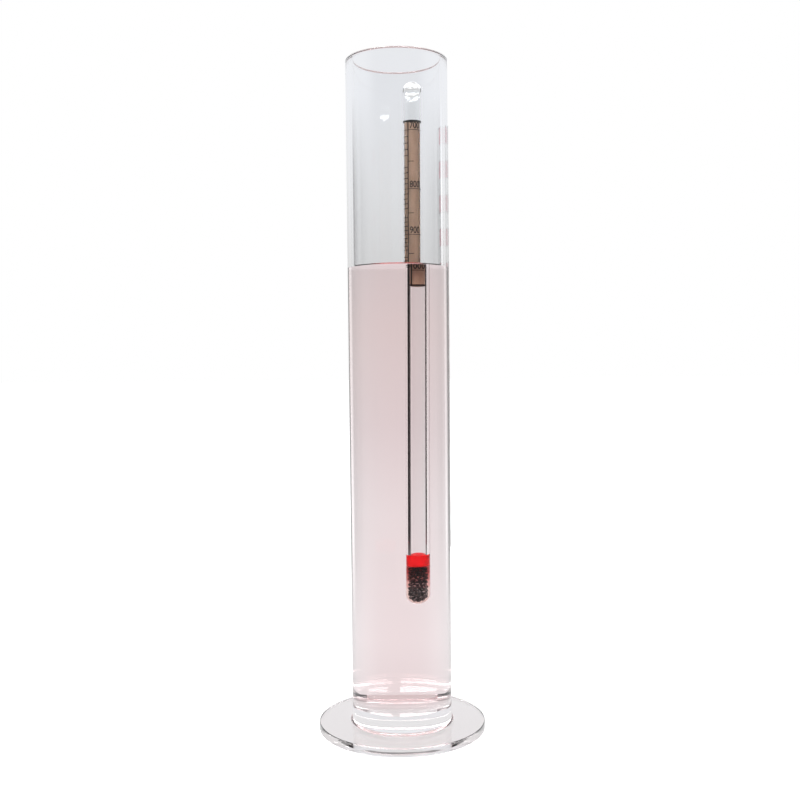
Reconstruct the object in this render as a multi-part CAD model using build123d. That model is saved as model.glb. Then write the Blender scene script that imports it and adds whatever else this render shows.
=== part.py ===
from build123d import *

import os
from math import cos, degrees, pi, sin, sqrt

# Demonstration hydrometer: a clear jar of dyed water with a weighted float standing in it.
# Millimetres. Z is up, the origin is the centre of the base plate's underside, and the
# front of the jar, from which the float's scale is read, faces -Y.

# Base plate
BASE_DIAMETER = 100.0
BASE_THICKNESS = 5.0
BASE_EDGE_BEVEL = 0.4

# Jar tube, its floor and the cement that holds them
TUBE_DIAMETER = 60.0
TUBE_WALL = 4.0
TUBE_LENGTH = 393.0
RIM_BEVEL = 0.3
FLOOR_THICKNESS = 10.0
FLOOR_EDGE_BEVEL = 0.3
CEMENT_FILM = 0.05
CEMENT_BEAD = 1.2

# Film scale on the outside of the jar, in blocks of one centimetre
STRIP_BLOCK = 10.0
STRIP_BLOCKS = 25
STRIP_WIDTH = 12.6
STRIP_THICKNESS = 0.2
STRIP_GLUE = 0.03
STRIP_BELOW_RIM = 38.6
STRIP_BEARING = 8.0

# Dyed water
WATER_DEPTH = 261.6
WATER_CLEARANCE = 0.05
MENISCUS_WIDTH = 2.4
MENISCUS_RISE = 1.3
POCKET_CLEARANCE = 0.15

# Float tube and its domed stopper. The float stands a little off the jar's axis and leans.
FLOAT_DIAMETER = 11.0
FLOAT_WALL = 0.8
FLOAT_X = 7.6
FLOAT_Y = 0.0
FLOAT_LEAN = 0.3
STOPPER_REACH = 3.4
STOPPER_EDGE_BEVEL = 0.6
STOPPER_CLEARANCE = 0.03

# Density scale, a paper slip rolled inside the float. The float has a constant section, so
# a density's mark lies where the length that it displaces reaches the surface.
DISPLACED_LENGTH = 192.0
WATER_MARK_HEIGHT = 197.8
WATER_MARK_DEPTH = 2.4
WATER_DENSITY = 1000.0
LOWEST_DENSITY = 700.0
PAPER_ABOVE_MARKS = 5.7
PAPER_BELOW_TIP = 22.9
PAPER_BELOW_MARKS = 9.2
PAPER_THICKNESS = 0.12
PAPER_CLEARANCE = 0.06
PAPER_LAYER_GAP = 0.03
PAPER_OVERLAP = 4.0

# Lead shot and the sealing wax above it
SHOT_DIAMETER = 2.0
SHOT_CLEARANCE = 0.03
SHOT_COLUMN = 21.6
SHOT_RINGS = 16
SHOT_PLACES = 90
SHOT_TURN = 137.5
WAX_HEIGHT = 7.0
WAX_CLEARANCE = 0.03
WAX_ABOVE_SHOT = 0.1
WAX_RISE = 0.5
WAX_EDGE_BEVEL = 0.4

tube_radius = TUBE_DIAMETER / 2
bore_radius = tube_radius - TUBE_WALL
tube_foot = BASE_THICKNESS + CEMENT_FILM
rim_height = tube_foot + TUBE_LENGTH
floor_top = tube_foot + FLOOR_THICKNESS

water_bottom = floor_top + WATER_CLEARANCE
water_radius = bore_radius - WATER_CLEARANCE
water_surface = water_bottom + WATER_DEPTH

float_radius = FLOAT_DIAMETER / 2
cavity_radius = float_radius - FLOAT_WALL
float_immersion = WATER_MARK_HEIGHT + WATER_MARK_DEPTH
float_bottom = water_surface - float_immersion

# Heights on the float, from its lowest point
bulb_height = float_radius
lowest_mark = WATER_MARK_HEIGHT + DISPLACED_LENGTH * (WATER_DENSITY / LOWEST_DENSITY - 1)
paper_bottom = WATER_MARK_HEIGHT - PAPER_BELOW_MARKS
paper_top = lowest_mark + PAPER_ABOVE_MARKS
dome_height = paper_top + PAPER_BELOW_TIP - float_radius
shot_radius = SHOT_DIAMETER / 2
shot_top = FLOAT_WALL + SHOT_COLUMN
wax_bottom = shot_top + WAX_ABOVE_SHOT

FROM_BELOW = (Align.CENTER, Align.CENTER, Align.MIN)


def turned(outline):
    """The solid of revolution about Z of a closed outline in the XZ plane."""
    return revolve(make_face(outline), axis=Axis.Z)


def on_float(part):
    """A part that was made in the float's own frame, put where the float stands."""
    return part.moved(Location((FLOAT_X, FLOAT_Y, float_bottom), (0, FLOAT_LEAN, 0)))


def base_plate():
    """A flat disc with bevelled, polished edges."""
    disc = Cylinder(BASE_DIAMETER / 2, BASE_THICKNESS, align=FROM_BELOW)
    return chamfer(disc.edges().filter_by(GeomType.CIRCLE), BASE_EDGE_BEVEL)


def jar_tube():
    """A straight tube, sawn square at the foot, with both edges of its rim bevelled."""
    tube = Cylinder(tube_radius, TUBE_LENGTH, align=FROM_BELOW)
    tube -= Cylinder(bore_radius, TUBE_LENGTH, align=FROM_BELOW)
    rim = tube.edges().filter_by(GeomType.CIRCLE).group_by(Axis.Z)[-1]
    return chamfer(rim, RIM_BEVEL).moved(Location((0, 0, tube_foot)))


def jar_floor():
    """The plug that closes the tube's foot, with a bevel to lead it in."""
    plug = Cylinder(bore_radius - CEMENT_FILM, FLOOR_THICKNESS, align=FROM_BELOW)
    return chamfer(plug.edges().filter_by(GeomType.CIRCLE), FLOOR_EDGE_BEVEL).moved(
        Location((0, 0, tube_foot))
    )


def foot_cement():
    """The bead of cement squeezed out round the tube's foot."""
    inner = tube_radius + CEMENT_FILM
    outline = Polyline(
        (inner, 0, BASE_THICKNESS),
        (inner + CEMENT_BEAD, 0, BASE_THICKNESS),
        (inner, 0, BASE_THICKNESS + CEMENT_BEAD),
        close=True,
    )
    return turned(outline)


def jar_scale_strip():
    """A thin film that lies round part of the tube's right side."""
    inner = tube_radius + STRIP_GLUE
    outer = inner + STRIP_THICKNESS
    half_angle = degrees(STRIP_WIDTH / inner / 2)
    arcs = [
        CenterArc((0, 0), radius, STRIP_BEARING - half_angle, 2 * half_angle)
        for radius in (inner, outer)
    ]
    ends = [Line(arcs[0] @ end, arcs[1] @ end) for end in (0, 1)]
    length = STRIP_BLOCK * STRIP_BLOCKS
    strip = extrude(make_face(arcs + ends), amount=length)
    return strip.moved(Location((0, 0, rim_height - STRIP_BELOW_RIM - length)))


def float_space(clearance, top):
    """The float's outer shape in its own frame, larger by a clearance and cut off at a height."""
    radius = float_radius + clearance
    bottom = bulb_height - radius
    outline = [
        TangentArc((0, 0, bottom), (radius, 0, bulb_height), tangent=(1, 0, 0)),
        Line((radius, 0, bulb_height), (radius, 0, top)),
        Line((radius, 0, top), (0, 0, top)),
        Line((0, 0, top), (0, 0, bottom)),
    ]
    return turned(outline)


def dyed_water():
    """The liquid, with a meniscus up the wall and a pocket where the float stands."""
    shoulder = (water_radius - MENISCUS_WIDTH / 2, 0, water_surface + MENISCUS_RISE / 4)
    outline = Polyline(
        (0, 0, water_bottom),
        (water_radius, 0, water_bottom),
        (water_radius, 0, water_surface + MENISCUS_RISE),
        shoulder,
        (water_radius - MENISCUS_WIDTH, 0, water_surface),
        (0, 0, water_surface),
        close=True,
    )
    pocket = float_space(POCKET_CLEARANCE, float_immersion + 2 * MENISCUS_RISE)
    return turned(outline) - on_float(pocket)


def float_tube():
    """A thin tube with a round bottom, like a long test tube."""
    cavity = float_space(-FLOAT_WALL, dome_height)
    return on_float(float_space(0, dome_height) - cavity)


def float_stopper():
    """A solid dome as wide as the float, on a short plug that fills the tube's mouth."""
    seat = dome_height + STOPPER_CLEARANCE
    plug_radius = cavity_radius - STOPPER_CLEARANCE
    plug_end = seat - STOPPER_REACH
    sides = Polyline(
        (0, 0, seat + float_radius),
        (0, 0, plug_end),
        (plug_radius - STOPPER_EDGE_BEVEL, 0, plug_end),
        (plug_radius, 0, plug_end + STOPPER_EDGE_BEVEL),
        (plug_radius, 0, seat),
        (float_radius, 0, seat),
    )
    dome = TangentArc((float_radius, 0, seat), (0, 0, seat + float_radius), tangent=(0, 0, 1))
    return on_float(turned([sides, dome]))


def scale_paper():
    """A paper slip rolled a little more than once round, with its overlap at the back."""
    radius = cavity_radius - PAPER_CLEARANCE
    shift = (PAPER_THICKNESS + PAPER_LAYER_GAP) / 2
    lap = degrees(PAPER_OVERLAP / radius)

    def rolled(start_radius):
        """The slip's edge seen from above: two half turns and the overlap, each one narrower."""
        return [
            CenterArc((0, 0), start_radius, 90, 180),
            CenterArc((0, -shift), start_radius - shift, 270, 180),
            CenterArc((0, 0), start_radius - 2 * shift, 90, lap),
        ]

    outside, inside = rolled(radius), rolled(radius - PAPER_THICKNESS)
    ends = [Line(outside[0] @ 0, inside[0] @ 0), Line(outside[-1] @ 1, inside[-1] @ 1)]
    slip = extrude(make_face(outside + inside + ends), amount=paper_top - paper_bottom)
    return on_float(slip.moved(Location((0, 0, paper_bottom))))


def wax_plug():
    """Sealing wax poured on the shot: flat below, drawn a little up the wall above."""
    radius = cavity_radius - WAX_CLEARANCE
    edge = wax_bottom + WAX_HEIGHT
    middle = edge - WAX_RISE
    outline = Polyline(
        (0, 0, wax_bottom),
        (radius - WAX_EDGE_BEVEL, 0, wax_bottom),
        (radius, 0, wax_bottom + WAX_EDGE_BEVEL),
        (radius, 0, edge),
        (radius - 2 * WAX_RISE, 0, middle),
        (0, 0, middle),
        close=True,
    )
    return on_float(turned(outline))


def shot_ball():
    """One shot ball, dented flat on twenty sides where it met its neighbours."""
    golden = (1 + sqrt(5)) / 2
    size = shot_radius / sqrt(1 + golden**2)
    corners = []
    for near in (-size, size):
        for far in (-golden * size, golden * size):
            corners += [(0, near, far), (near, far, 0), (far, 0, near)]
    return ConvexPolyhedron(corners)


def shot_centres():
    """Centres of balls dropped one by one, each into the lowest hollow that is left."""
    pitch = SHOT_DIAMETER + SHOT_CLEARANCE
    reach = cavity_radius - shot_radius - SHOT_CLEARANCE
    places = [(0.0, 0.0)]
    for ring in range(1, SHOT_RINGS + 1):
        radius = reach * ring / SHOT_RINGS
        for step in range(SHOT_PLACES):
            angle = 2 * pi * (step + ring / SHOT_RINGS) / SHOT_PLACES
            places.append((radius * cos(angle), radius * sin(angle)))
    heights = [bulb_height - sqrt(max(reach**2 - x**2 - y**2, 0)) for x, y in places]
    centres = []
    while min(heights) + shot_radius <= shot_top:
        height = min(heights)
        x, y = places[heights.index(height)]
        centres.append((x, y, height))
        for index, (other_x, other_y) in enumerate(places):
            gap = pitch**2 - (other_x - x) ** 2 - (other_y - y) ** 2
            if gap > 0:
                heights[index] = max(heights[index], height + sqrt(gap))
    return centres


def lead_shot():
    """The heap of balls, each turned another way."""
    ball = shot_ball()
    balls = []
    for index, centre in enumerate(shot_centres()):
        turn = SHOT_TURN * index
        balls.append(ball.moved(Location(centre, (turn, 2 * turn, 3 * turn))))
    return on_float(Compound(balls))


MAKERS = [
    base_plate,
    jar_tube,
    jar_floor,
    foot_cement,
    jar_scale_strip,
    dyed_water,
    float_tube,
    float_stopper,
    scale_paper,
    wax_plug,
    lead_shot,
]

os.makedirs("parts", exist_ok=True)
for maker in MAKERS:
    export_step(maker(), f"parts/{maker.__name__}.step")
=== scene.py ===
import math

import bpy
import numpy as np
from mathutils import Matrix, Vector


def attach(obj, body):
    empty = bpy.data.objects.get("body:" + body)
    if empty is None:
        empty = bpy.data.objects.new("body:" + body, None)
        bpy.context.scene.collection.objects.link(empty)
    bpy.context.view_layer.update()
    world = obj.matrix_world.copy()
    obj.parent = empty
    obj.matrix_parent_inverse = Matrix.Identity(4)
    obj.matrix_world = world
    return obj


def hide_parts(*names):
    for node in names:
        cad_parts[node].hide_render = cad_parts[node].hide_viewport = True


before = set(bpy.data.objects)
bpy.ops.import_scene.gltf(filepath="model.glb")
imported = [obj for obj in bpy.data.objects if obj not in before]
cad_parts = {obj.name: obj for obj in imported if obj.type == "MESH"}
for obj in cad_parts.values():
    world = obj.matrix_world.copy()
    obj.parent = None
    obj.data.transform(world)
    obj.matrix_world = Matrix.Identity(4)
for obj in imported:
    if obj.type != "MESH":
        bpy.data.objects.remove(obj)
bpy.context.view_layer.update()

MM = 0.001

# Sizes of the CAD part, in millimetres, and the film scale's bearing and half width in degrees
BASE_RADIUS = 50.0
BASE_THICKNESS = 5.0
TUBE_RADIUS = 30.0
BORE_RADIUS = 26.0
RIM_HEIGHT = 398.05
FLOOR_TOP = 15.05
WATER_SURFACE = 276.7
FLOAT_RADIUS = 5.5
CAVITY_RADIUS = 4.7
WATER_MARK = 197.8
DISPLACED_LENGTH = 192.0
PAPER_TOP = 285.79
PAPER_BOTTOM = 188.6
DOME_HEIGHT = 303.19
WAX_BOTTOM = 22.5
WAX_HEIGHT = 7.0
SHOT_RADIUS = 1.0
STRIP_TOP = RIM_HEIGHT - 38.6
STRIP_BLOCK = 10.0
STRIP_BLOCKS = 25
STRIP_BEARING = 8.0
STRIP_INNER = 30.03
STRIP_HALF_ANGLE = 12.02

# Sizes of the dressed pieces, in millimetres.
# Cemented pieces sink into each other by SEAT, so that no film of air shows, and the tube's
# sawn foot stands on a film of air. Heights are told apart to within NEAR.
SEAT = 0.05
AIR_FILM = 0.02
NEAR = 0.01
EDGE_ROUNDING = 0.5
RIM_ROUNDING = 0.35
RIM_TINT_DEPTH = 0.45
BEAD_RADIUS = 1.25
MENISCUS_CLIMB = 0.7
MENISCUS_FADE = 0.45
MENISCUS_STEPS = (0, 0.1, 0.2, 0.35, 0.5, 0.7, 1.0, 1.4, 1.8, 2.4, 3.2)
# Width of the painted red line on the meniscus beside the wall. This is a red tint that stands
# in for light, not a colour of the water.
PAINTED_RED_LINE_WIDTH = 1.2
STOPPER_SEAT = DOME_HEIGHT - 0.3
STOPPER_BELLY = 3.1
STRIP_THICKNESS = 0.2
BLOCK_LIFT, BLOCK_THICKNESS, BLOCK_GAP = 0.005, 0.03, 0.1
STRIP_TICK_LIFT, STRIP_TICK_THICKNESS = 0.045, 0.02
STRIP_BOLD_TICK, STRIP_FINE_TICK = 0.45, 0.2
PAPER_THICKNESS = 0.12
PAPER_GAP = 0.03
PAPER_PRESS = 0.012
PAPER_TAPER, TAPER_FROM, TAPER_RUN = 0.055, 197.0, 3.0
PRINT_LIFT = 0.004
PRINT_THICKNESS = 0.012
LINE_HALF, LONG_TICK_HALF, TICK_HALF = 0.17, 0.2, 0.22
DIGIT_LIFT = 0.011
DIGIT_ABOVE_LINE = 0.8
DIGIT_SIZE = 5.5
DIGIT_WEIGHT = 0.1
DIGIT_SQUEEZE = 0.72

# Bearings on the rolled paper, in degrees from its front to the right
PAPER_LAP = 48.0
PRINT_EDGE = 88
COLUMN_LINE = -31.0
COLUMN_HALF = 4
LONG_TICK_SPAN = 40
DIGIT_RIGHT_EDGE = 52

# Indices of refraction, each relative to what lies on the face's other side: plastic and water
# against air, plastic against water, and a cemented joint, in which light doesn't bend
PLASTIC = 1.49
WATER = 1.333
PLASTIC_IN_WATER = PLASTIC / WATER
JOINED = 1.0

GLASSY_TINT = (0.98, 0.985, 0.985)
NO_TINT = (1, 1, 1)

# The camera, as fitted to the photograph: degrees, millimetres of lens, metres
CAMERA_PITCH, CAMERA_ROLL = 2.63, 0.54
CAMERA_LENS = 46.125
CAMERA_PLACE = (0.0004, -0.613, 0.226)


# The camera
def make_camera():
    data = bpy.data.cameras.new("camera")
    camera = bpy.data.objects.new("camera", data)
    bpy.context.scene.collection.objects.link(camera)
    data.sensor_width = 36
    data.lens = CAMERA_LENS
    data.clip_start = 0.05
    data.clip_end = 60
    pitch, roll = math.radians(CAMERA_PITCH), math.radians(CAMERA_ROLL)
    forward = Vector((0, math.cos(pitch), -math.sin(pitch)))
    right = Vector((1, 0, 0))
    up = right.cross(forward)
    right, up = (
        right * math.cos(roll) - up * math.sin(roll),
        up * math.cos(roll) + right * math.sin(roll),
    )
    turn = Matrix((right, up, -forward)).transposed()
    camera.matrix_world = Matrix.Translation(CAMERA_PLACE) @ turn.to_4x4()
    bpy.context.scene.camera = camera


# Mesh makers
def add_mesh(name, points, faces, body, soften=30.0, slots=None):
    """A new piece from points in millimetres, smooth except at edges sharper than soften."""
    mesh = bpy.data.meshes.new(name)
    mesh.from_pydata([Vector(p) * MM for p in points], [], faces)
    mesh.update()
    mesh.shade_smooth()
    mesh.set_sharp_from_angle(angle=math.radians(soften))
    if slots is not None:
        mesh.polygons.foreach_set("material_index", slots)
    piece = bpy.data.objects.new(name, mesh)
    bpy.context.scene.collection.objects.link(piece)
    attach(piece, body)
    return piece


def rounded(corners, arc_steps=5, hold=0.03):
    """An outline in (radius, height) from corners (radius, height, rounding), with short
    straight stretches kept beside each rounding so that its shading stays there."""
    line = []
    count = len(corners)
    for index, (r, z, rounding) in enumerate(corners):
        here = Vector((r, z))
        if rounding <= 0:
            line.append((r, z))
            continue
        before = Vector(corners[index - 1][:2])
        after = Vector(corners[(index + 1) % count][:2])
        u, v = (before - here).normalized(), (after - here).normalized()
        half = math.acos(max(-1, min(1, u.dot(v)))) / 2
        reach = rounding / math.tan(half)
        centre = here + (u + v).normalized() * (rounding / math.sin(half))
        start, end = here + u * reach, here + v * reach
        line.append(tuple(start + u * hold))
        a0 = math.atan2(*(start - centre).yx)
        a1 = math.atan2(*(end - centre).yx)
        turn = (a1 - a0 + math.pi) % (2 * math.pi) - math.pi
        for step in range(arc_steps + 1):
            a = a0 + turn * step / arc_steps
            line.append((centre.x + rounding * math.cos(a), centre.y + rounding * math.sin(a)))
        line.append(tuple(end + v * hold))
    return line


def arc(radius, centre_z, start, end, steps):
    """Points of an arc about the axis at centre_z, from angle start to end above the level."""
    points = []
    for step in range(steps + 1):
        a = math.radians(start + (end - start) * step / steps)
        points.append((max(radius * math.cos(a), 0.0), centre_z + radius * math.sin(a)))
    return points


def lathe(name, outline, body, segments=256, ring=False, place=None, slot_of=None, soften=30.0):
    """A closed solid turned about Z. The outline starts and ends on the axis, or is a ring.
    slot_of gives the material slot between two neighbouring points of the outline."""
    points, rows = [], []
    for r, z in outline:
        if r < 1e-6:
            rows.append([len(points)] * segments)
            points.append((0, 0, z))
        else:
            rows.append(list(range(len(points), len(points) + segments)))
            for step in range(segments):
                a = 2 * math.pi * step / segments
                points.append((r * math.cos(a), r * math.sin(a), z))
    faces, slots = [], []
    ends = outline[1:] + outline[:1] if ring else outline[1:]
    pairs = list(zip(rows, rows[1:] + rows[:1])) if ring else list(zip(rows, rows[1:]))
    for (low, high), start, end in zip(pairs, outline, ends):
        slot = slot_of(start, end) if slot_of else 0
        for step in range(segments):
            after = (step + 1) % segments
            face = [low[step], low[after], high[after], high[step]]
            face = list(dict.fromkeys(face))
            if len(face) > 2:
                faces.append(face)
                slots.append(slot)
    if place is not None:
        points = [tuple(place @ Vector(p)) for p in points]
    return add_mesh(name, points, faces, body, soften, slots)


# Where the float stands
def float_place():
    """The float's own frame, in millimetres, from the CAD tube: its two straight ends."""
    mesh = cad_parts["float_tube"].data
    co = np.array([v.co for v in mesh.vertices]) / MM
    low, high = co[:, 2].min(), co[:, 2].max()

    def centre(level):
        near = co[abs(co[:, 2] - level) < 0.35]
        return Vector((near.min(0) + near.max(0)) / 2)

    bulb, top = centre(low + FLOAT_RADIUS), centre(high)
    axis = (top - bulb).normalized()
    turn = Vector((0, 0, 1)).rotation_difference(axis).to_matrix().to_4x4()
    return Matrix.Translation(bulb - axis * FLOAT_RADIUS) @ turn


FLOAT = float_place()


# Materials
def new_material(name):
    material = bpy.data.materials.new(name)
    material.use_nodes = True
    tree = material.node_tree
    for node in list(tree.nodes):
        if node.type != "OUTPUT_MATERIAL":
            tree.nodes.remove(node)
    output = next(n for n in tree.nodes if n.type == "OUTPUT_MATERIAL")
    return material, tree, output


def add_node(tree, kind, **sockets):
    node = tree.nodes.new(kind)
    for name, value in sockets.items():
        node.inputs[name.replace("_", " ")].default_value = value
    return node


def maths(tree, operation, a, b=None, clamp=False):
    node = tree.nodes.new("ShaderNodeMath")
    node.operation = operation
    node.use_clamp = clamp
    for index, value in enumerate((a, b)):
        if value is None:
            continue
        if isinstance(value, (int, float)):
            node.inputs[index].default_value = value
        else:
            tree.links.new(value, node.inputs[index])
    return node.outputs[0]


def ramp(tree, value, stops):
    node = tree.nodes.new("ShaderNodeValToRGB")
    elements = node.color_ramp.elements
    while len(elements) < len(stops):
        elements.new(0.5)
    for element, (at, colour) in zip(elements, stops):
        element.position = at
        element.color = (*colour, 1)
    tree.links.new(value, node.inputs["Fac"])
    return node.outputs["Color"]


def noise(tree, scale, detail=3.0, stretch=(1, 1, 1)):
    place = tree.nodes.new("ShaderNodeTexCoord")
    mapping = tree.nodes.new("ShaderNodeMapping")
    mapping.inputs["Scale"].default_value = stretch
    tree.links.new(place.outputs["Object"], mapping.inputs["Vector"])
    node = tree.nodes.new("ShaderNodeTexNoise")
    node.inputs["Scale"].default_value = scale
    node.inputs["Detail"].default_value = detail
    tree.links.new(mapping.outputs["Vector"], node.inputs["Vector"])
    return node.outputs["Fac"]


def bump(tree, shader, height, strength, distance):
    node = tree.nodes.new("ShaderNodeBump")
    node.inputs["Strength"].default_value = strength
    node.inputs["Distance"].default_value = distance
    tree.links.new(height, node.inputs["Height"])
    tree.links.new(node.outputs["Normal"], shader.inputs["Normal"])


def clear_shader(tree, ior, colour, waviness=0.02):
    """Clear plastic or water. Its surface is flat, or has a very faint waviness."""
    shader = add_node(
        tree, "ShaderNodeBsdfPrincipled", Base_Color=(*colour, 1), Roughness=0.0, IOR=ior
    )
    shader.inputs["Transmission Weight"].default_value = 1.0
    ripples = noise(tree, 60.0, 2.0, (1, 1, 0.15))
    bump(tree, shader, ripples, waviness, 0.0004)
    return shader


def clear_material(name, ior, colour, waviness=0.02):
    material, tree, output = new_material(name)
    shader = clear_shader(tree, ior, colour, waviness)
    tree.links.new(shader.outputs[0], output.inputs["Surface"])
    return material


def water_material(name, ior, colour=NO_TINT):
    """One face of the pink water: its free surface, or where it lies against a wall."""
    material, tree, output = new_material(name)
    shader = clear_shader(tree, ior, colour, 0.0)
    tree.links.new(shader.outputs[0], output.inputs["Surface"])
    volume = add_node(
        tree, "ShaderNodeVolumeAbsorption", Color=(0.93, 0.58, 0.585, 1), Density=10.0
    )
    tree.links.new(volume.outputs[0], output.inputs["Volume"])
    return material


def float_outer_material():
    """The float's outside: plastic against air above the water, and against water below it."""
    material, tree, output = new_material("float_outside")
    dry = clear_shader(tree, PLASTIC, GLASSY_TINT)
    wet = clear_shader(tree, PLASTIC_IN_WATER, GLASSY_TINT, 0.0)
    place = tree.nodes.new("ShaderNodeNewGeometry")
    parts = tree.nodes.new("ShaderNodeSeparateXYZ")
    tree.links.new(place.outputs["Position"], parts.inputs[0])
    under = maths(tree, "LESS_THAN", parts.outputs["Z"], WATER_SURFACE * MM)
    mix = tree.nodes.new("ShaderNodeMixShader")
    tree.links.new(under, mix.inputs["Fac"])
    tree.links.new(dry.outputs[0], mix.inputs[1])
    tree.links.new(wet.outputs[0], mix.inputs[2])
    tree.links.new(mix.outputs[0], output.inputs["Surface"])
    return material


def paper_material():
    material, tree, output = new_material("tan_paper")
    shader = add_node(tree, "ShaderNodeBsdfPrincipled", Roughness=0.75)
    shader.inputs["Specular IOR Level"].default_value = 0.3
    blotches = noise(tree, 140.0, 4.0, (1, 1, 0.35))
    colour = ramp(
        tree, blotches, [(0.25, (0.36, 0.21, 0.135)), (0.5, (0.45, 0.275, 0.185)),
                         (0.75, (0.53, 0.34, 0.235))]
    )
    tree.links.new(colour, shader.inputs["Base Color"])
    bump(tree, shader, noise(tree, 2500.0, 3.0), 0.25, 0.00005)
    tree.links.new(shader.outputs[0], output.inputs["Surface"])
    return material


def ink_material(name, colour):
    material, tree, output = new_material(name)
    shader = add_node(tree, "ShaderNodeBsdfPrincipled", Roughness=0.6)
    shader.inputs["Specular IOR Level"].default_value = 0.05
    worn = tuple(c * 1.8 for c in colour)
    wear = ramp(tree, noise(tree, 900.0, 2.0), [(0.2, colour), (0.9, worn)])
    tree.links.new(wear, shader.inputs["Base Color"])
    tree.links.new(shader.outputs[0], output.inputs["Surface"])
    return material


def wax_material():
    material, tree, output = new_material("red_wax")
    shader = add_node(tree, "ShaderNodeBsdfPrincipled", Roughness=0.45)
    shader.inputs["Specular IOR Level"].default_value = 0.15
    shader.inputs["Subsurface Weight"].default_value = 0.15
    shader.inputs["Subsurface Radius"].default_value = (1.0, 0.1, 0.1)
    shader.inputs["Subsurface Scale"].default_value = 0.001
    colour = ramp(
        tree, noise(tree, 260.0, 3.0), [(0.3, (0.8, 0.0, 0.003)), (0.7, (0.98, 0.001, 0.006))]
    )
    tree.links.new(colour, shader.inputs["Base Color"])
    bump(tree, shader, noise(tree, 700.0, 3.0), 0.3, 0.0002)
    tree.links.new(shader.outputs[0], output.inputs["Surface"])
    return material


def lead_material():
    material, tree, output = new_material("lead_balls")
    shader = add_node(tree, "ShaderNodeBsdfPrincipled", Metallic=0.85)
    grey = ramp(
        tree, noise(tree, 420.0, 4.0), [(0.3, (0.035, 0.035, 0.04)), (0.75, (0.16, 0.16, 0.17))]
    )
    tree.links.new(grey, shader.inputs["Base Color"])
    rough = ramp(tree, noise(tree, 900.0, 2.0), [(0.2, (0.22,) * 3), (0.8, (0.45,) * 3)])
    tree.links.new(rough, shader.inputs["Roughness"])
    tree.links.new(shader.outputs[0], output.inputs["Surface"])
    return material


def film_material(name, colour, transmission):
    material, tree, output = new_material(name)
    shader = add_node(tree, "ShaderNodeBsdfPrincipled", Roughness=0.08, IOR=PLASTIC)
    shader.inputs["Transmission Weight"].default_value = transmission
    darker = tuple(c * 0.92 for c in colour)
    shade = ramp(tree, noise(tree, 300.0, 2.0), [(0.2, darker), (0.8, colour)])
    tree.links.new(shade, shader.inputs["Base Color"])
    tree.links.new(shader.outputs[0], output.inputs["Surface"])
    return material


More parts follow.
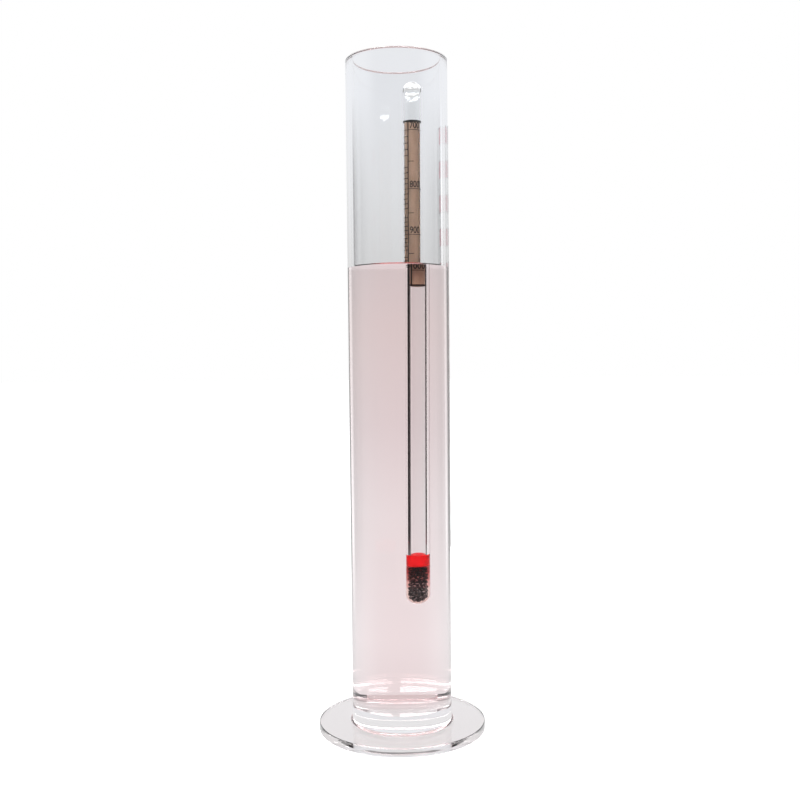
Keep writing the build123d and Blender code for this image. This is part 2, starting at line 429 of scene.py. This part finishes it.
# The jar
def make_jar():
    acrylic = clear_material("jar_acrylic", PLASTIC, (0.985, 0.99, 0.995))
    wet_acrylic = clear_material("jar_acrylic_wet", PLASTIC_IN_WATER, (0.99, 0.99, 0.99), 0.0)
    joint = clear_material("cemented_joint", JOINED, NO_TINT, 0.0)
    rim_acrylic = clear_material("rim_acrylic", PLASTIC, (0.93, 0.62, 0.62))
    base_acrylic = clear_material("base_acrylic", PLASTIC, (0.93, 0.88, 0.88))
    floor_acrylic = clear_material(
        "floor_acrylic_wet", PLASTIC_IN_WATER, (0.95, 0.89, 0.89), 0.0
    )
    cement = clear_material("pink_cement", PLASTIC, (0.95, 0.74, 0.74))

    foot = BASE_THICKNESS - SEAT
    sawn_foot = BASE_THICKNESS + AIR_FILM
    bead_outer = TUBE_RADIUS + BEAD_RADIUS
    bead_top = BASE_THICKNESS + BEAD_RADIUS

    def base_slot(start, _):
        """Dry, except under the floor plug, where it is cemented."""
        dry, cemented = range(2)
        return cemented if start == (BORE_RADIUS, BASE_THICKNESS) else dry

    disc = rounded([
        (0, 0, 0), (BASE_RADIUS, 0, EDGE_ROUNDING),
        (BASE_RADIUS, BASE_THICKNESS, EDGE_ROUNDING), (BORE_RADIUS, BASE_THICKNESS, 0),
    ])
    base = lathe("clear_base", [*disc, (0, BASE_THICKNESS)], "jar", slot_of=base_slot)
    base.data.materials.append(base_acrylic)
    base.data.materials.append(joint)
    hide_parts("base_plate")

    def tube_slot(start, end):
        dry, wet, cemented, sawn_rim = range(4)
        low, high = sorted((start[1], end[1]))
        inside = max(start[0], end[0]) < BORE_RADIUS + NEAR
        if low > RIM_HEIGHT - RIM_TINT_DEPTH:
            return sawn_rim
        if start[0] != end[0] and high == sawn_foot:
            return dry
        if high <= (FLOOR_TOP if inside else bead_top) + NEAR:
            return cemented
        return wet if inside and high <= WATER_SURFACE + NEAR else dry

    rim = rounded([
        (TUBE_RADIUS, 0, 0), (TUBE_RADIUS, RIM_HEIGHT, RIM_ROUNDING),
        (BORE_RADIUS, RIM_HEIGHT, RIM_ROUNDING), (BORE_RADIUS, 0, 0),
    ])[1:-1]
    tube = lathe(
        "clear_tube",
        [(TUBE_RADIUS, sawn_foot), (TUBE_RADIUS, bead_top), *rim,
         (BORE_RADIUS, WATER_SURFACE), (BORE_RADIUS, FLOOR_TOP), (BORE_RADIUS, sawn_foot)],
        "jar", ring=True, slot_of=tube_slot,
    )
    for material in (acrylic, wet_acrylic, joint, rim_acrylic):
        tube.data.materials.append(material)
    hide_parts("jar_tube")

    wide = BORE_RADIUS + SEAT
    plug = lathe(
        "clear_floor", [(0, foot), (wide, foot), (wide, FLOOR_TOP), (0, FLOOR_TOP)], "jar",
        slot_of=lambda start, end: 0 if start[1] == end[1] == FLOOR_TOP else 1,
    )
    plug.data.materials.append(floor_acrylic)
    plug.data.materials.append(joint)
    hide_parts("jar_floor")

    inner = TUBE_RADIUS - SEAT
    sweep = []
    for step in range(7):
        a = math.radians(90 * step / 6)
        sweep.append((
            bead_outer - BEAD_RADIUS * math.sin(a), bead_top - BEAD_RADIUS * math.cos(a)
        ))
    bead = lathe(
        "cement_bead", [(inner, sawn_foot), (bead_outer, sawn_foot), *sweep, (inner, bead_top)],
        "jar", ring=True,
        slot_of=lambda start, end: 1 if start[0] == end[0] == inner else 0,
    )
    bead.data.materials.append(cement)
    bead.data.materials.append(joint)
    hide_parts("foot_cement")

    climb = [
        (BORE_RADIUS - away, WATER_SURFACE + MENISCUS_CLIMB * math.exp(-away / MENISCUS_FADE))
        for away in MENISCUS_STEPS
    ]

    def water_slot(start, end):
        surface, at_wall, meniscus = range(3)
        if max(start[1], end[1]) < WATER_SURFACE or start[0] == end[0]:
            return at_wall
        # Faces next to the wall get the painted red line
        near_wall = min(start[0], end[0]) > BORE_RADIUS - PAINTED_RED_LINE_WIDTH
        return meniscus if near_wall else surface

    water = lathe(
        "pink_water",
        [(0, FLOOR_TOP - SEAT), (wide, FLOOR_TOP - SEAT),
         (wide, WATER_SURFACE + MENISCUS_CLIMB), *climb, (0, WATER_SURFACE)],
        "jar", slot_of=water_slot,
    )
    water.data.materials.append(water_material("pink_water", WATER))
    water.data.materials.append(water_material("pink_water_at_wall", JOINED))
    # Painted light: the meniscus faces next to the wall get a strong red tint that the water
    # doesn't have. It stands in for the red line that light through the curved water surface
    # shows at the wall.
    water.data.materials.append(water_material("meniscus_painted_red_line", WATER, (0.9, 0.08, 0.08)))
    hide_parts("dyed_water")


# The film scale on the jar
def curved_patch(points, faces, radius, thickness, a0, a1, z0, z1, steps=12, place=None):
    """Adds a thin closed patch of a cylinder. Angles are degrees from +X toward +Y."""
    first = len(points)
    for r in (radius, radius + thickness):
        for step in range(steps + 1):
            a = math.radians(a0 + (a1 - a0) * step / steps)
            for z in (z0, z1):
                point = Vector((r * math.cos(a), r * math.sin(a), z))
                points.append(tuple(place @ point if place is not None else point))
    row = 2 * (steps + 1)
    for step in range(steps):
        b = first + 2 * step
        faces.append([b, b + 1, b + 3, b + 2])
        t = b + row
        faces.append([t, t + 2, t + 3, t + 1])
        faces.append([b, b + 2, t + 2, t])
        faces.append([b + 1, t + 1, t + 3, b + 3])
    b, t = first, first + row
    faces.append([b, t, t + 1, b + 1])
    b, t = first + 2 * steps, first + row + 2 * steps
    faces.append([b, b + 1, t + 1, t])


def make_strip():
    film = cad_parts["jar_scale_strip"]
    film.data.materials.clear()
    film.data.materials.append(film_material("clear_film", (0.95, 0.95, 0.95), 1.0))
    low, high = STRIP_BEARING - STRIP_HALF_ANGLE, STRIP_BEARING + STRIP_HALF_ANGLE
    block_low, block_high = STRIP_BEARING - 11.7, STRIP_BEARING + 2.0
    tick_low, tick_high = low + 0.3, high - 6
    surface = STRIP_INNER + STRIP_THICKNESS
    red, red_faces, black, black_faces = [], [], [], []
    for block in range(STRIP_BLOCKS):
        z1 = STRIP_TOP - STRIP_BLOCK * block
        z0 = z1 - STRIP_BLOCK
        if block % 2 == 0:
            curved_patch(
                red, red_faces, surface + BLOCK_LIFT, BLOCK_THICKNESS,
                block_low, block_high, z0 + BLOCK_GAP, z1 - BLOCK_GAP,
            )
        tick = STRIP_BOLD_TICK if block % 5 == 0 else STRIP_FINE_TICK
        curved_patch(
            black, black_faces, surface + STRIP_TICK_LIFT, STRIP_TICK_THICKNESS,
            tick_low, tick_high, z1 - tick, z1,
        )
    blocks = add_mesh("strip_red_blocks", red, red_faces, "jar")
    blocks.data.materials.append(film_material("red_film", (0.8, 0.15, 0.23), 1.0))
    ticks = add_mesh("strip_ticks", black, black_faces, "jar")
    ticks.data.materials.append(ink_material("strip_ink", (0.01, 0.01, 0.012)))


# The float
def make_float():
    seat = STOPPER_SEAT
    straight = FLOAT_RADIUS + 0.3
    bulb = arc(FLOAT_RADIUS, FLOAT_RADIUS, -90, 0, 24)
    hollow = arc(CAVITY_RADIUS, FLOAT_RADIUS, 0, -90, 24)
    outside = [*bulb, (FLOAT_RADIUS, straight), (FLOAT_RADIUS, DOME_HEIGHT)]
    inside = [(CAVITY_RADIUS, DOME_HEIGHT), (CAVITY_RADIUS, seat), (CAVITY_RADIUS, WAX_BOTTOM),
              (CAVITY_RADIUS, straight), *hollow]

    def tube_slot(start, end):
        outer, inner, inner_wet, cemented = range(4)
        if min(start[1], end[1]) > seat - NEAR and min(start[0], end[0]) == CAVITY_RADIUS:
            return cemented
        if start in outside and end in outside:
            return outer
        return inner_wet if max(start[1], end[1]) < WAX_BOTTOM + NEAR else inner

    tube = lathe(
        "float_glassy_tube", outside + inside, "float", segments=128, place=FLOAT,
        slot_of=tube_slot,
    )
    tube.data.materials.append(float_outer_material())
    tube.data.materials.append(clear_material("float_inside", PLASTIC, GLASSY_TINT))
    tube.data.materials.append(
        clear_material("float_inside_wet", PLASTIC_IN_WATER, GLASSY_TINT, 0.0)
    )
    tube.data.materials.append(clear_material("float_joint", JOINED, NO_TINT, 0.0))
    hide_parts("float_tube")

    plug = CAVITY_RADIUS + 0.03
    top = DOME_HEIGHT - 0.02
    belly = []
    for step in range(18):
        a = math.radians(5 * step)
        belly.append((plug * math.cos(a), seat - STOPPER_BELLY * math.sin(a)))
    stopper = lathe(
        "float_dome_stopper",
        [(0, seat - STOPPER_BELLY), *reversed(belly), (plug, top), (FLOAT_RADIUS, top),
         *arc(FLOAT_RADIUS, DOME_HEIGHT, 0, 90, 24)],
        "float", segments=128, place=FLOAT,
        slot_of=lambda start, end: 1 if start[1] == top or end[1] == top else 0,
    )
    stopper.data.materials.append(clear_material("stopper_plastic", PLASTIC, GLASSY_TINT))
    stopper.data.materials.append(clear_material("stopper_joint", JOINED, NO_TINT, 0.0))
    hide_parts("float_stopper")

    wax_radius = CAVITY_RADIUS + 0.04
    wax_top = WAX_BOTTOM + WAX_HEIGHT
    side = rounded([
        (0, WAX_BOTTOM, 0), (wax_radius, WAX_BOTTOM, EDGE_ROUNDING), (wax_radius, wax_top, 0)
    ])
    crown = [
        (wax_radius - 1.2, wax_top + 0.1), (wax_radius - 2.6, wax_top + 0.3), (0, wax_top + 0.4)
    ]
    wax = lathe(
        "sealing_wax", side + crown, "float", segments=96, place=FLOAT, soften=50
    )
    wax.data.materials.append(wax_material())
    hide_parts("wax_plug")

    bowl = arc(wax_radius, FLOAT_RADIUS, -90, 0, 20)
    levels = [10.0, 14.0, 18.0, WAX_BOTTOM + 0.3]

    def run_slot(_, end):
        """The wax gets darker upwards, from level to level."""
        return sum(end[1] > z + NEAR for z in levels[:-1])

    tints = [(0.97, 0.8, 0.74), (0.85, 0.5, 0.46), (0.6, 0.2, 0.18), (0.45, 0.06, 0.06)]
    run = lathe(
        "wax_run_between_balls",
        [*bowl, *[(wax_radius, z) for z in levels], (0, levels[-1])],
        "float", segments=96, place=FLOAT, slot_of=run_slot,
    )
    for step, colour in enumerate(tints):
        run.data.materials.append(clear_material(f"wax_run_{step}", JOINED, colour, 0.0))


def shot_centres():
    """Centres of the CAD balls, in millimetres: each ball is an island of the shot's mesh."""
    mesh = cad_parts["lead_shot"].data
    co = np.array([v.co for v in mesh.vertices]) / MM
    keys = {}
    root = list(range(len(co)))

    def find(i):
        while root[i] != i:
            root[i] = root[root[i]]
            i = root[i]
        return i

    for i, p in enumerate(np.round(co, 3)):
        j = keys.setdefault(tuple(p), i)
        root[find(i)] = find(j)
    for face in mesh.polygons:
        ends = list(face.vertices)
        for other in ends[1:]:
            root[find(other)] = find(ends[0])
    groups = {}
    for i in range(len(co)):
        groups.setdefault(find(i), []).append(co[i])
    return [(np.min(g, 0) + np.max(g, 0)) / 2 for g in groups.values()]


def unit_ball():
    """A smooth ball of radius 1: rows of points from pole to pole."""
    rows, steps = 10, 16
    points, faces = [(0, 0, -1)], []
    for row in range(1, rows):
        b = -math.pi / 2 + math.pi * row / rows
        for step in range(steps):
            a = 2 * math.pi * step / steps
            points.append((math.cos(b) * math.cos(a), math.cos(b) * math.sin(a), math.sin(b)))
    points.append((0, 0, 1))
    for step in range(steps):
        after = (step + 1) % steps
        faces.append([0, 1 + after, 1 + step])
        for row in range(rows - 2):
            b = 1 + row * steps
            faces.append([b + step, b + after, b + steps + after, b + steps + step])
        b = 1 + (rows - 2) * steps
        faces.append([b + step, b + after, len(points) - 1])
    return points, faces


def make_shot():
    ball, ball_faces = unit_ball()
    points, faces = [], []
    for centre in shot_centres():
        first = len(points)
        points += [tuple(Vector(p) * SHOT_RADIUS + Vector(centre)) for p in ball]
        faces += [[first + i for i in face] for face in ball_faces]
    shot = add_mesh("lead_shot_balls", points, faces, "float", soften=60)
    shot.data.materials.append(lead_material())
    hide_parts("lead_shot")


# The paper and its print
def paper_radius(z):
    """The roll lies against the wall, and is a little narrower at its lower end."""
    lower = 1 - min(1, max(0, (z - TAPER_FROM) / TAPER_RUN))
    return CAVITY_RADIUS + PAPER_PRESS - PAPER_TAPER * lower


def make_paper():
    """The slip rolled a little more than once round, its overlap at the back."""
    turn = 360 + PAPER_LAP
    steps = 136
    heights = [PAPER_BOTTOM, 190, 192, 194, 196, 197, 198, 199, 200, 201, 230, 260, PAPER_TOP]
    points, faces = [], []
    for side in (0, PAPER_THICKNESS):
        for step in range(steps + 1):
            a = math.radians(90 + turn * step / steps)
            inward = (PAPER_THICKNESS + PAPER_GAP) * (turn * step / steps) / 360 + side
            for z in heights:
                r = paper_radius(z) - inward
                points.append(tuple(FLOAT @ Vector((r * math.cos(a), r * math.sin(a), z))))
    n = len(heights)
    half = (steps + 1) * n
    for step in range(steps):
        for row in range(n - 1):
            a, b = step * n + row, (step + 1) * n + row
            faces.append([a, b, b + 1, a + 1])
            faces.append([half + a, half + a + 1, half + b + 1, half + b])
        a, b = step * n, (step + 1) * n
        faces.append([a, half + a, half + b, b])
        a, b = a + n - 1, b + n - 1
        faces.append([a, b, half + b, half + a])
    for row in range(n - 1):
        a = row
        faces.append([a, a + 1, half + a + 1, half + a])
        a = steps * n + row
        faces.append([a, half + a, half + a + 1, a + 1])
    paper = add_mesh("rolled_paper", points, faces, "float")
    paper.data.materials.append(paper_material())
    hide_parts("scale_paper")


def mark_height(density):
    return WATER_MARK + DISPLACED_LENGTH * (1000.0 / density - 1)


def make_print():
    """Lines and ticks as thin curved strips on the paper.
    Angles are from the front, to the right."""
    points, faces = [], []

    def strip(a0, a1, z0, z1):
        r = paper_radius((z0 + z1) / 2)
        steps = max(3, int((a1 - a0) / 6))
        curved_patch(
            points, faces, r + PRINT_LIFT, PRINT_THICKNESS,
            a0 - 90, a1 - 90, z0, z1, steps, FLOAT,
        )

    strip(-PRINT_EDGE, PRINT_EDGE, PAPER_TOP - 1.3, PAPER_TOP)
    strip(-PRINT_EDGE, PRINT_EDGE, PAPER_BOTTOM, PAPER_BOTTOM + 0.9)
    strip(COLUMN_LINE - COLUMN_HALF, COLUMN_LINE + COLUMN_HALF, PAPER_BOTTOM, PAPER_TOP - 0.5)
    for density in range(700, 1001, 10):
        z = mark_height(density)
        if density % 100 == 0:
            strip(-PRINT_EDGE, PRINT_EDGE, z - LINE_HALF, z + LINE_HALF)
        elif density % 50 == 0:
            end = COLUMN_LINE + LONG_TICK_SPAN
            strip(COLUMN_LINE, end, z - LONG_TICK_HALF, z + LONG_TICK_HALF)
        else:
            strip(-PRINT_EDGE, COLUMN_LINE, z - TICK_HALF, z + TICK_HALF)
    marks = add_mesh("scale_marks", points, faces, "float")
    marks.data.materials.append(ink_material("mark_ink", (0.009, 0.006, 0.004)))


def make_digits():
    """The plain numbers of the density scale, bent round the paper."""
    ink = ink_material("digit_ink", (0.009, 0.006, 0.004))
    for density in (700, 800, 900, 1000):
        digits = bpy.data.curves.new(f"number_{density}", "FONT")
        digits.body = str(density)
        digits.size = DIGIT_SIZE
        digits.extrude = PRINT_THICKNESS / 2
        digits.align_x = "RIGHT"
        digits.resolution_u = 4
        digits.offset = DIGIT_WEIGHT
        holder = bpy.data.objects.new(f"holder_{density}", digits)
        bpy.context.scene.collection.objects.link(holder)
        bpy.context.view_layer.update()
        flat = holder.evaluated_get(bpy.context.evaluated_depsgraph_get())
        mesh = bpy.data.meshes.new_from_object(flat)
        bpy.data.objects.remove(holder)
        base = mark_height(density) + DIGIT_ABOVE_LINE
        r = paper_radius(base)
        for vertex in mesh.vertices:
            x, y, z = vertex.co
            a = math.radians(DIGIT_RIGHT_EDGE) + x * DIGIT_SQUEEZE / r
            level = r + DIGIT_LIFT + z
            bent = Vector((level * math.sin(a), -level * math.cos(a), base + y))
            vertex.co = (FLOAT @ bent) * MM
        mesh.update()
        number = bpy.data.objects.new(f"scale_number_{density}", mesh)
        bpy.context.scene.collection.objects.link(number)
        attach(number, "float")
        mesh.materials.clear()
        mesh.materials.append(ink)


# Light and floor
def make_world():
    """White to the camera. Seen in the clear pieces: a grey-white backdrop that darkens
    towards the level of the eye, brighter strips beside two black flags that draw the dark
    outlines, and an even light from above and below."""
    world = bpy.data.worlds.new("studio")
    bpy.context.scene.world = world
    world.use_nodes = True
    tree = world.node_tree
    background = next(n for n in tree.nodes if n.type == "BACKGROUND")
    place = tree.nodes.new("ShaderNodeTexCoord")
    parts = tree.nodes.new("ShaderNodeSeparateXYZ")
    tree.links.new(place.outputs["Generated"], parts.inputs[0])
    azimuth = maths(tree, "ARCTAN2", parts.outputs["X"], parts.outputs["Y"])
    turn = maths(tree, "MULTIPLY_ADD", azimuth, 0.5 / math.pi)
    turn.node.inputs[2].default_value = 0.5
    level = maths(tree, "MULTIPLY_ADD", parts.outputs["Z"], 0.5)
    level.node.inputs[2].default_value = 0.5

    def around(stops):
        """A light that varies with the bearing: degrees from straight ahead, and strength."""
        return ramp(tree, turn, [(0.5 + at / 360.0, (gain,) * 3) for at, gain in stops])

    flags = around([
        (-180, 0.3), (-88, 0.3), (-85, 0.01), (-51, 0.01), (-47, 0.95),
        (-43, 1.2), (-36, 1.1), (-31, 0.98), (-22, 1.0), (22, 1.0),
        (36, 0.98), (40, 1.05), (43, 1.25), (47, 1.5), (51, 1.6), (54, 0.01), (85, 0.01),
        (88, 0.3), (180, 0.3),
    ])
    plain = around([(-180, 0.3), (-130, 0.3), (-100, 0.9), (-50, 1.0), (50, 1.0), (100, 0.9),
                    (130, 0.3), (180, 0.3)])

    def height(degrees):
        """The place on a ramp of a direction that many degrees above the level."""
        return 0.5 + 0.5 * math.sin(math.radians(degrees))

    near_level = ramp(tree, level, [
        (height(-15), (0, 0, 0)), (height(-10), (1, 1, 1)),
        (height(9), (1, 1, 1)), (height(14), (0, 0, 0)),
    ])
    round_about = tree.nodes.new("ShaderNodeMix")
    round_about.data_type = "RGBA"
    tree.links.new(near_level, round_about.inputs["Factor"])
    tree.links.new(plain, round_about.inputs[6])
    tree.links.new(flags, round_about.inputs[7])
    up_down = ramp(tree, level, [
        (0.0, (0.75, 0.75, 0.75)), (height(-30), (0.75, 0.75, 0.75)),
        (height(-20), (0.86, 0.87, 0.875)), (height(-16), (0.955, 0.978, 0.985)),
        (height(-9), (0.916, 0.945, 0.95)), (height(-4), (0.82, 0.815, 0.82)),
        (height(1.5), (0.783, 0.762, 0.755)), (height(4.5), (0.74, 0.735, 0.735)),
        (height(9), (0.83, 0.833, 0.845)), (height(14), (0.865, 0.875, 0.905)),
        (height(20), (0.86, 0.87, 0.895)), (1.0, (0.86, 0.87, 0.89)),
    ])
    both = tree.nodes.new("ShaderNodeMix")
    both.data_type = "RGBA"
    both.blend_type = "MULTIPLY"
    both.inputs["Factor"].default_value = 1.0
    tree.links.new(round_about.outputs[2], both.inputs[6])
    tree.links.new(up_down, both.inputs[7])
    steep = ramp(tree, level, [
        (height(-34), (1, 1, 1)), (height(-26), (0, 0, 0)),
        (height(26), (0, 0, 0)), (height(34), (1, 1, 1)),
    ])
    whole = tree.nodes.new("ShaderNodeMix")
    whole.data_type = "RGBA"
    tree.links.new(steep, whole.inputs["Factor"])
    tree.links.new(both.outputs[2], whole.inputs[6])
    overhead = around([
        (-180, 1.2), (-112, 1.2), (-95, 0.82), (95, 0.82), (112, 1.2), (180, 1.2),
    ])
    tree.links.new(overhead, whole.inputs[7])
    eye = tree.nodes.new("ShaderNodeLightPath")
    pick = tree.nodes.new("ShaderNodeMix")
    pick.data_type = "RGBA"
    tree.links.new(eye.outputs["Is Camera Ray"], pick.inputs["Factor"])
    tree.links.new(whole.outputs[2], pick.inputs[6])
    pick.inputs[7].default_value = (1, 1, 1, 1)
    tree.links.new(pick.outputs[2], background.inputs["Color"])
    background.inputs["Strength"].default_value = 1.0


def make_floor():
    """A white floor that keeps the object's shadow. The clear pieces show what is beyond it."""
    material, tree, output = new_material("white_floor")
    shade = add_node(tree, "ShaderNodeBsdfDiffuse", Color=(0.4, 0.4, 0.4, 1))
    glow = add_node(tree, "ShaderNodeEmission", Color=(1, 1, 1, 1), Strength=0.72)
    total = tree.nodes.new("ShaderNodeAddShader")
    tree.links.new(shade.outputs[0], total.inputs[0])
    tree.links.new(glow.outputs[0], total.inputs[1])
    eye = tree.nodes.new("ShaderNodeLightPath")
    beyond = add_node(tree, "ShaderNodeBsdfTransparent")
    seen = maths(tree, "ADD", eye.outputs["Is Camera Ray"], eye.outputs["Is Diffuse Ray"], True)
    pick = tree.nodes.new("ShaderNodeMixShader")
    tree.links.new(seen, pick.inputs["Fac"])
    tree.links.new(beyond.outputs[0], pick.inputs[1])
    tree.links.new(total.outputs[0], pick.inputs[2])
    tree.links.new(pick.outputs[0], output.inputs["Surface"])
    mesh = bpy.data.meshes.new("floor")
    side, level = 8, -0.0002
    corners = [
        (-side, -side, level), (side, -side, level), (side, side, level), (-side, side, level)
    ]
    mesh.from_pydata(corners, [], [[0, 1, 2, 3]])
    mesh.materials.append(material)
    floor = bpy.data.objects.new("floor", mesh)
    bpy.context.scene.collection.objects.link(floor)


def make_lamp(name, place, side, power):
    """A square soft box that looks at the middle of the jar."""
    data = bpy.data.lights.new(name, "AREA")
    data.shape = "RECTANGLE"
    data.size, data.size_y, data.energy = side, side, power
    lamp = bpy.data.objects.new(name, data)
    bpy.context.scene.collection.objects.link(lamp)
    direction = Vector((0, 0, 0.2)) - Vector(place)
    turn = direction.to_track_quat("-Z", "Y").to_matrix().to_4x4()
    lamp.matrix_world = Matrix.Translation(place) @ turn
    lamp.visible_camera = False


make_camera()
make_jar()
make_strip()
make_float()
make_shot()
make_paper()
make_print()
make_digits()
make_world()
make_floor()
make_lamp("front_lamp", (-0.9, -1.5, 2.2), side=2.2, power=180.0)
make_lamp("second_lamp", (1.1, -1.3, 2.0), side=1.9, power=105.0)

scene = bpy.context.scene
scene.view_settings.view_transform = "Standard"
scene.cycles.max_bounces = 40
scene.cycles.transmission_bounces = 40
scene.cycles.glossy_bounces = 16
scene.cycles.transparent_max_bounces = 16
